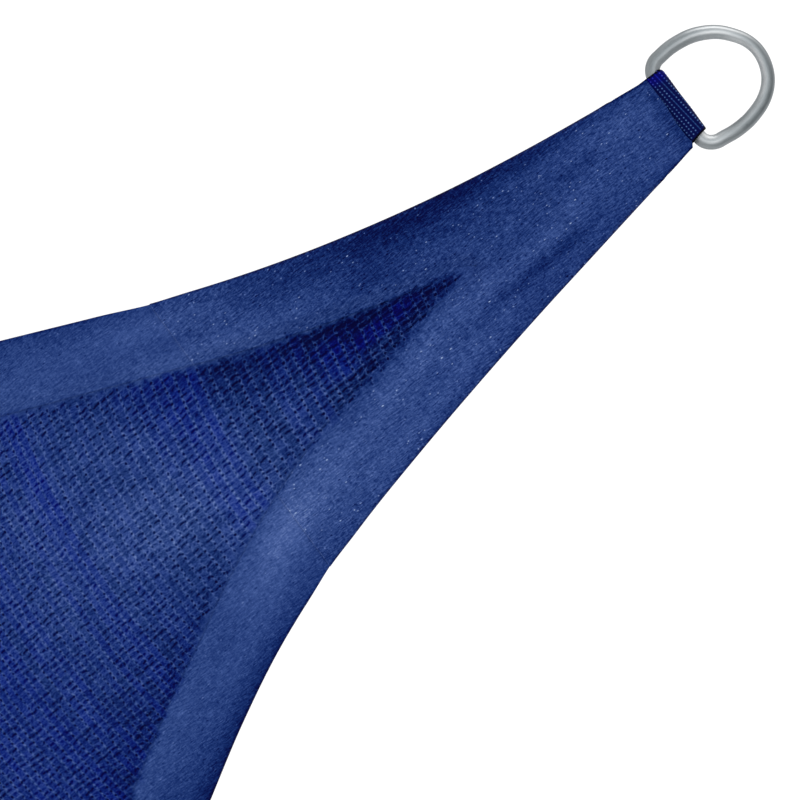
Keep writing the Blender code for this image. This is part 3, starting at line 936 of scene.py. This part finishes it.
# The wire's painted reflections, dark and bright bands of painted shade and highlight:
# the place across the wire from -1 at its inner side to 1 at its outer one, half-width,
# change on a scale of 255, the bearing where the band is strongest in degrees, how much
# of it is left opposite, and how sharply it fades on the way.
PAINTED_REFLECTION_ROWS = (
    (-0.90, 0.30, -22, 0, 1.0, 1), (0.95, 0.16, -14, 0, 1.0, 1), (0.08, 0.32, -36, 0, 1.0, 1),
    (-0.10, 0.22, 34, -110, 0.15, 2), (0.10, 0.30, 40, -132, 0.0, 6),
    (0.62, 0.16, 72, -138, 0.0, 3), (0.55, 0.25, -42, 118, 0.0, 1), (0.50, 0.35, -20, -82, 0.0, 2),
    (-0.45, 0.16, -20, -85, 0.0, 1), (-0.70, 0.30, 42, 180, 0.0, 1), (-0.68, 0.28, 80, 40, 0.0, 20),
    (0.10, 0.22, 52, 52, 0.0, 16),
)


def ring_painted_reflection(side, bearing):
    """Give the wire's painted reflections, a change of tone across it, at bearings round the bow."""
    tone = 0.0
    for place, width, change, strongest, least, fade in PAINTED_REFLECTION_ROWS:
        share = least + (1 - least) * np.clip(np.cos(bearing - math.radians(strongest)), 0, 1) ** fade
        tone = tone + change * share * np.exp(-((side - place) / width) ** 2)
    return tone


# ---- material nodes

NOISE_SPAN = 2.6  # spreads a noise node's 0 to 1 over about -1 to 1


class Value:
    """A number or a vector in a material's nodes, which takes part in sums."""

    def __init__(self, tree, socket):
        self.tree = tree
        self.socket = socket

    def into(self, kind, others=(), output=0, **settings):
        """Feed a new node, and give one of its outputs."""
        return add_node(self.tree, kind, {0: self, **dict(others)}, output, **settings)

    def math(self, operation, *others, clamp=False):
        """Put numbers through a Math node."""
        return self.into("Math", enumerate(others, 1), operation=operation, use_clamp=clamp)

    def __add__(self, other):
        return self.math("ADD", other)

    def __mul__(self, other):
        return self.math("MULTIPLY", other)

    def __sub__(self, other):
        return self.math("SUBTRACT", other)

    def __rsub__(self, other):
        return (self * -1) + other

    def scaled(self, x, y, z=1.0):
        """Scale a vector along its three axes."""
        return self.into("VectorMath", {1: (x, y, z)}, operation="MULTIPLY")

    def shifted(self, other):
        """Add another vector."""
        return self.into("VectorMath", {1: other}, operation="ADD")

    def parts(self):
        """Split a vector's first two numbers off."""
        node = self.into("SeparateXYZ").socket.node
        return [Value(self.tree, output) for output in node.outputs[:2]]

    def noise(self, detail=2.0, rough=0.5):
        """Give smooth noise at a vector, from about -1 to 1."""
        inputs = {"Scale": 1.0, "Detail": detail, "Roughness": rough}
        return (self.into("TexNoise", inputs, "Fac") - 0.5) * NOISE_SPAN

    def step(self, low, high):
        """Ease from 0 to 1 between two values."""
        inputs = {"From Min": low, "From Max": high}
        return self.into("MapRange", inputs, interpolation_type="SMOOTHSTEP")

    def random(self):
        """Give a random number from 0 to 1 for a vector."""
        return self.into("TexWhiteNoise", output="Value", noise_dimensions="3D")


def plug(tree, slot, value):
    """Set a node's input from a number, a tuple or another node."""
    if isinstance(value, Value):
        tree.links.new(value.socket, slot)
    else:
        slot.default_value = value


def add_node(tree, kind, inputs, output=0, **settings):
    """Add a node, and give one of its outputs."""
    node = tree.nodes.new("ShaderNode" + kind)
    for name, setting in settings.items():
        setattr(node, name, setting)
    for slot, value in inputs.items():
        plug(tree, node.inputs[slot], value)
    return Value(tree, node.outputs[output])


def attribute(tree, name, output="Vector"):
    """Read what is kept for each point of the mesh."""
    return add_node(tree, "Attribute", {}, output, attribute_name=name)


def vector(x, y, z=0.0):
    """Join numbers into a vector."""
    return add_node(x.tree, "CombineXYZ", {0: x, 1: y, 2: z})


def linear(value, light):
    """Turn a colour of 0 to 255, as it shows in a light, into the surface's own."""
    share = value / 255
    share = share / 12.92 if share <= 0.04045 else ((share + 0.055) / 1.055) ** 2.4
    return max(share - GLOSS, 0.0) / light


def ramp(value, stops, light=LIGHT):
    """Colour a number by stops, each a value and a colour of 0 to 255."""
    low, high = stops[0][0], stops[-1][0]
    colour = ((value - low) * (1 / (high - low))).into("ValToRGB")
    elements = colour.socket.node.color_ramp.elements
    while len(elements) < len(stops):
        elements.new(0.5)
    for element, (place, parts) in zip(elements, stops):
        element.position = (place - low) / (high - low)
        element.color = (*[linear(part, light) for part in parts], 1.0)
    return colour


def blend_colours(share, first, second):
    """Mix two colours by a share."""
    return add_node(share.tree, "Mix", {0: share, 6: first, 7: second}, 2, data_type="RGBA")


def new_material(name, roughness, metallic=0.0, specular=0.03):
    """Make a material and give its tree and its shader."""
    material = bpy.data.materials.new(name)
    material.use_nodes = True
    tree = material.node_tree
    shader = tree.nodes["Principled BSDF"]
    shader.inputs["Roughness"].default_value = roughness
    shader.inputs["Metallic"].default_value = metallic
    shader.inputs["Specular IOR Level"].default_value = specular
    return material, tree, shader


def add_bump(tree, shader, height, distance):
    """Raise the surface by a height of 0 to 1."""
    normal = add_node(tree, "Bump", {"Strength": 1.0, "Distance": distance, "Height": height})
    plug(tree, shader.inputs["Normal"], normal)


# Tones on a scale of 255 away from the cloth's base colour
CLOTH_STOPS = (
    (-62, (0, 6, 56)), (-42, (2, 22, 78)), (-20, (22, 45, 106)), (0, (42, 66, 128)),
    (20, (62, 87, 150)), (40, (84, 108, 171)), (110, (168, 192, 242)),
)
DEEP_STOPS = (
    (-62, (0, 0, 70)), (-42, (0, 10, 98)), (-20, (14, 33, 122)), (0, (34, 56, 140)),
    (20, (56, 78, 158)), (40, (80, 102, 176)), (110, (164, 188, 240)),
)
STITCH_LINES = (45.0, 79.0)  # across the patch, in millimetres from the ring's bar
HEM_GRAIN = 0.75  # how strong the hem's grain is beside the patch's


def specks(lay, share, radius, cluster=0.0):
    """Give small specks here and there, more of them in some places."""
    distance = lay.into("TexVoronoi", {"Scale": 1.0}, "Distance")
    chance = Value(lay.tree, distance.socket.node.outputs["Position"]).random() + cluster
    return distance.step(radius, radius * 0.35) * chance.step(1 - share, 1 - share * 0.3)


def threads(value, width):
    """Give thin lines where smooth noise passes nought."""
    return value.math("ABSOLUTE").step(width, 0.0)


def dense_value(lay, inward, grain):
    """Give the tone of close cloth: short slanting threads, small pits, painted glints and painted shade
    along its rolled edges.
    """
    fine = lay.scaled(1.3, 2.2).noise(2.0, 0.7)
    thread = lay.scaled(0.34, 1.60).noise(3.0, 0.65)
    dash = threads(lay.scaled(0.30, 1.5).shifted((9.0, 4.0, 6.0)).noise(1.0), 0.26) * (fine * 0.7 + 1)
    cross = lay.scaled(1.50, 0.30).noise(2.0, 0.6)
    mottle = lay.scaled(0.10, 0.22).noise(3.0, 0.6)
    cluster = lay.scaled(0.045, 0.06).shifted((2.0, 8.0, 5.0)).noise(1.0) * 0.32
    broad = lay.scaled(0.014, 0.055).noise(2.0)
    # Painted shade along the rolled outer edges, darkest in the last millimetre
    roll = inward.step(1.3, 0.3) * -30 + inward.step(7.0, 0.0) * -6
    value = (fine * 27 + thread * 40 + cross * 15 + dash * 16 + mottle * 9 - 8) * grain + broad * 5 + roll
    value = value - specks(lay.scaled(0.40, 0.80).shifted((3.0, 9.0, 2.0)), 0.6, 0.26) * 30 * grain
    # Painted glints: small white specks where the fibres catch the light
    painted_glint = specks(lay.scaled(0.20, 0.42), 0.55, 0.13, cluster) * 110
    painted_glint = painted_glint + specks(lay.scaled(0.40, 0.75).shifted((7.0, 5.0, 1.0)), 0.62, 0.19, cluster) * 76
    value = value + painted_glint * (grain * 2.6 - 1.6)
    along, across = lay.parts()
    for seam in STITCH_LINES:
        near = (along - seam).math("ABSOLUTE").step(0.7, 0.1)
        value = value - near * (across * 2.2).math("SINE").step(-0.6, 0.3) * 9 * (grain - HEM_GRAIN)
    return value


def knit_value(lay, cell, tight):
    """Give the tone of open knit: wales of small loops, threads between, and gaps painted dark as the shade
    in them.
    """
    wobble = lay.scaled(0.16, 0.16).noise(1.0)
    wobble_too = lay.scaled(0.21, 0.19, 1.0).shifted((31.0, 17.0, 5.0)).noise(1.0)
    wale, course = cell.parts()
    course = course + wobble_too * 0.30
    wale = wale + wobble * 0.12
    slant = course + (wale - wale.math("ROUND")) * 0.05
    level = (slant + 0.5).math("FLOOR")
    off = slant - level
    nearest = (wale + 0.5).math("FLOOR")
    from_wale = wale - nearest
    number = wale.math("FLOOR")
    past = wale - number
    aside = from_wale.math("ABSOLUTE")
    first, second, third, fourth = [vector(number, level, part).random() for part in (0.0, 3.0, 7.0, 9.0)]
    dot_size, dot_shift = [vector(nearest, level, part).random() for part in (13.0, 15.0)]
    between_columns = vector(number, slant.math("FLOOR"), 17.0).random()
    by_wale = vector(number, 0.0, 11.0).random()

    loose = cell.scaled(0.11, 0.07).noise(2.0)
    fine = lay.scaled(1.7, 2.2).noise(2.0, 0.7)
    ragged = lay.scaled(1.1, 1.1).shifted((8.0, 3.0, 1.0)).noise(1.0)
    band = (aside + ragged * 0.035).step(0.18, 0.08)

    dot_off = (off - (dot_shift - 0.5) * 0.18) * 1.9
    dot_up = (from_wale - (dot_size - 0.5) * 0.10) * 3.1
    dot = (dot_off * dot_off + dot_up * dot_up).math("SQRT") + ragged * 0.08
    dot = dot.step(0.54, 0.27) * (dot_size * 0.6 + 0.4)

    slit_off = (off - (second - 0.5) * 0.24 - (past - 0.5) * 0.10) * (2.9 - fourth * 0.9)
    slit_up = (past - (first * 0.50 + 0.25)).math("ABSOLUTE") - third * third * 0.22
    slit_up = slit_up.math("MAXIMUM", 0.0) * 3.3
    slit = (slit_off * slit_off + slit_up * slit_up).math("SQRT") + ragged * 0.10
    slit = slit.step(0.52, 0.25) * (third * 0.8 + loose * 0.25 + 0.15)

    thread = (0.5 - off.math("ABSOLUTE") + ragged * 0.06).step(0.15, 0.02) * (between_columns * 0.7 + 0.3)
    hairs = threads(lay.scaled(0.42, 1.70).noise(1.0), 0.36) * (fine * 0.6 + 1)
    crossing = threads(lay.scaled(0.95, 0.60).shifted((5.0, 2.0, 8.0)).noise(1.0), 0.40)
    flat = (fourth - 0.5) * 16 + (first - 0.5) * 6
    streaks = cell.scaled(0.21, 0.012).noise(2.0)

    chain = (off * math.pi).math("COSINE") * 0.15 - aside + ragged * 0.03
    chain = chain.math("ABSOLUTE").step(0.09, 0.01)
    net = band * 0.45 + chain * (fourth * 0.6 + 0.2) + thread * (0.9 - band * 0.5)
    weave = net * (tight * 10 + 27) + (1 - band) * flat + fine * 20 + hairs * 24
    # The dots and slits are gaps, painted dark as the shade within them
    weave = weave + crossing * (band * 8 + 10) - dot * (tight * 14 + 70)
    weave = weave - slit * (1 - band) * (tight * 12 + 46) - 13
    value = weave + streaks * 9 + loose * 7
    value = value + specks(lay.scaled(0.30, 0.45), 0.30, 0.13) * (tight * 60 + 10)
    height = net * 0.7 + hairs * 0.3 - dot - slit
    return value, band, (fourth - 0.5) * 0.4 + (by_wale - 0.5) * 0.5, height


def cloth_material(name, grain):
    """Make the cloth: open knit, and close cloth at the hem."""
    material, tree, shader = new_material(name, 0.62)
    lay = attribute(tree, "lay")
    cell = attribute(tree, "knit")
    inward = attribute(tree, "inward", "Fac")
    rim = attribute(tree, "rim", "Fac")
    ragged = lay.scaled(0.34, 0.30).noise(2.0)
    is_open = (rim + ragged * 2.2).step(-1.8, 2.4)
    # The close cloth's tone, with its painted light and shade
    close = dense_value(lay, inward, grain) + attribute(tree, "tone", "Fac")
    knitted, band, flat, height = knit_value(lay, cell, attribute(tree, "tight", "Fac"))
    # The knit's painted shade beside the hem
    knitted = knitted + attribute(tree, "dim", "Fac")
    value = close + (knitted - close) * is_open
    plain = ramp(value, CLOTH_STOPS)
    rich = ramp(value, DEEP_STOPS)
    patchy = cell.scaled(0.45, 0.16).noise(2.0) * 0.35 + 1
    richness = attribute(tree, "deep", "Fac") * patchy * (1 - band * 0.6) * (flat + 1)
    richness = ((richness + flat * 0.4) * is_open).math("ADD", 0.0, clamp=True)
    plug(tree, shader.inputs["Base Color"], blend_colours(richness, plain, rich))
    add_bump(tree, shader, height * is_open + (1 - is_open) * value * 0.012, 0.22 * MM)
    return material


WEB_STOPS = (
    (-40, (0, 0, 22)), (0, (0, 16, 70)), (40, (4, 28, 86)), (70, (40, 70, 126)), (110, (128, 162, 210)),
)
WEB_DEEP_STOPS = (
    (-40, (0, 0, 26)), (0, (0, 0, 98)), (40, (0, 0, 122)), (70, (24, 30, 152)), (110, (90, 96, 200)),
)


def web_material():
    """Make the webbing: dark valleys, slate raised ends, painted shade along its edges, and one end a
    deeper blue.
    """
    material, tree, shader = new_material("webbing", 0.5)
    raised = attribute(tree, "raised", "Fac")
    lay = attribute(tree, "lay")
    across = lay.parts()[1]
    fine = lay.scaled(2.0, 2.0).noise(2.0)
    # Painted shade along the strap's rounded edges
    outline = attribute(tree, "edge", "Fac").step(0.9, 0.4)
    value = raised.math("POWER", 1.4) * 104 + fine * 8 - outline * 60
    plain = ramp(value, WEB_STOPS)
    rich = ramp(value, WEB_DEEP_STOPS)
    deep = (across + fine).step(-9.0, -12.5) * 0.95
    plug(tree, shader.inputs["Base Color"], blend_colours(deep, plain, rich))
    add_bump(tree, shader, fine, 0.05 * MM)
    return material


# The bare wire's share of the light, from its dull patches and dark painted reflections to its bright
# painted highlights
STEEL_STOPS = (
    (-80, (66, 72, 76)), (-40, (106, 112, 115)), (0, (147, 152, 155)), (60, (216, 218, 219)),
)


def steel_material():
    """Make the rings' satin steel: painted reflection bands round the wire, fine grain along it, and dull
    clouds.
    """
    material, tree, shader = new_material("satin_steel", 0.42, metallic=1.0, specular=0.5)
    lay = attribute(tree, "lay")
    cloud = lay.scaled(0.16, 0.5).noise(3.0)
    grain = lay.scaled(0.8, 6.0).noise(3.0, 0.6)
    # Painted reflections round the wire, with dull clouds and grain
    tone = attribute(tree, "painted_reflection", "Fac") + cloud * 14 + grain * 12
    plug(tree, shader.inputs["Base Color"], ramp(tone, STEEL_STOPS, light=WORLD))
    plug(tree, shader.inputs["Roughness"], grain * 0.04 + cloud * 0.05 + 0.42)
    add_bump(tree, shader, grain * 0.6 + cloud * 0.6, 0.03 * MM)
    return material


# ---- the stage

PHOTO_SCALE = 3.0  # pixels of the photograph to a millimetre
PHOTO_SIZE = 800
HANG_PIXEL = (750.1, 54.9)  # where the first ring's hanging point shows
CAMERA_DISTANCE = 1.5
SENSOR = 36.0
CLIP = (0.05, 200)
FLOOR_DROP = 1.2  # from the lowest corner to the floor
FLOOR_RADIUS = 60
FLOOR_CENTRE = (-0.9, -0.6)
FLOOR_COLOUR = (0.95, 0.95, 0.95, 1.0)
LIGHT_TARGET = (-0.2, -0.2, 0.0)
LIGHTS = (  # name, place, size and power
    ("front", (-0.3, -2.3, 4.6), 6.0, 92),
    ("top", (-0.3, 3.9, 4.0), 3.5, 48),
)


def build_camera():
    """Look straight at the sail's plane, at the first corner."""
    right = Vector((1, 0, 0))
    up = Vector((0, math.cos(PITCH), math.sin(PITCH)))
    normal = right.cross(up)
    aside = (PHOTO_SIZE / 2 - HANG_PIXEL[0]) / PHOTO_SCALE * MM
    above = (HANG_PIXEL[1] - PHOTO_SIZE / 2) / PHOTO_SCALE * MM
    target = right * aside + up * above
    data = bpy.data.cameras.new("camera")
    data.sensor_width = SENSOR
    width = PHOTO_SIZE / PHOTO_SCALE * MM
    data.lens = SENSOR * CAMERA_DISTANCE / width
    data.clip_start, data.clip_end = CLIP
    camera = add_object("camera", data)
    rotation = Matrix((right, up, normal)).transposed().to_4x4()
    camera.matrix_world = Matrix.Translation(target + normal * CAMERA_DISTANCE) @ rotation
    bpy.context.scene.camera = camera


def build_light(name, place, size, power):
    """Hang a round soft light that faces a place."""
    data = bpy.data.lights.new(name, "AREA")
    data.shape = "DISK"
    data.size = size
    data.energy = power
    light = add_object(name, data)
    light.location = place
    light.rotation_euler = (Vector(LIGHT_TARGET) - Vector(place)).to_track_quat("-Z", "Y").to_euler()


def build_stage():
    """Lay a pale floor, and light the sail softly from all round."""
    mesh = bpy.data.meshes.new("floor")
    shape = bmesh.new()
    bmesh.ops.create_circle(shape, cap_ends=True, segments=96, radius=FLOOR_RADIUS)
    shape.to_mesh(mesh)
    shape.free()
    floor = add_object("floor", mesh)
    floor.location = (*FLOOR_CENTRE, cad_box[0].z - FLOOR_DROP)
    material, tree, shader = new_material("pale_floor", 0.9, specular=0.0)
    plug(tree, shader.inputs["Base Color"], FLOOR_COLOUR)
    mesh.materials.append(material)

    world = bpy.data.worlds.new("studio")
    bpy.context.scene.world = world
    world.use_nodes = True
    background = world.node_tree.nodes["Background"]
    background.inputs["Color"].default_value = (1.0, 1.0, 1.0, 1.0)
    background.inputs["Strength"].default_value = WORLD
    for name, place, size, power in LIGHTS:
        build_light(name, place, size, power)


# ---- the whole

def main():
    bpy.context.scene.view_settings.view_transform = "Standard"
    build_camera()
    build_stage()
    knit_cloth = cloth_material("knitted_mesh", HEM_GRAIN)
    hem_cloth = cloth_material("hem_cloth", HEM_GRAIN)
    patch_cloth = cloth_material("dense_cloth", 1.0)
    strap = web_material()
    steel = steel_material()

    panel = build_knit(knit_cloth)
    hem = build_hem(hem_cloth)
    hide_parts("canopy")
    patch = patch_mesh()
    web = web_mesh()
    ring = ring_mesh()
    for index, corner in enumerate(CORNERS):
        matrix = sail_matrix(CORNER_BEARING + index * CORNER_STEP)
        cover = add_piece("corner_patch_" + corner, patch.copy(), matrix, patch_cloth)
        thicken(cover, PATCH_SHEET, read(patch, "full"))
        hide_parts("patch_" + corner)
        loop = add_piece("web_loop_" + corner, web.copy(), matrix, strap)
        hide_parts("webbing_" + corner)
        wire = add_piece("d_ring_" + corner, ring.copy(), matrix, steel)
        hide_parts("ring_" + corner)


main()
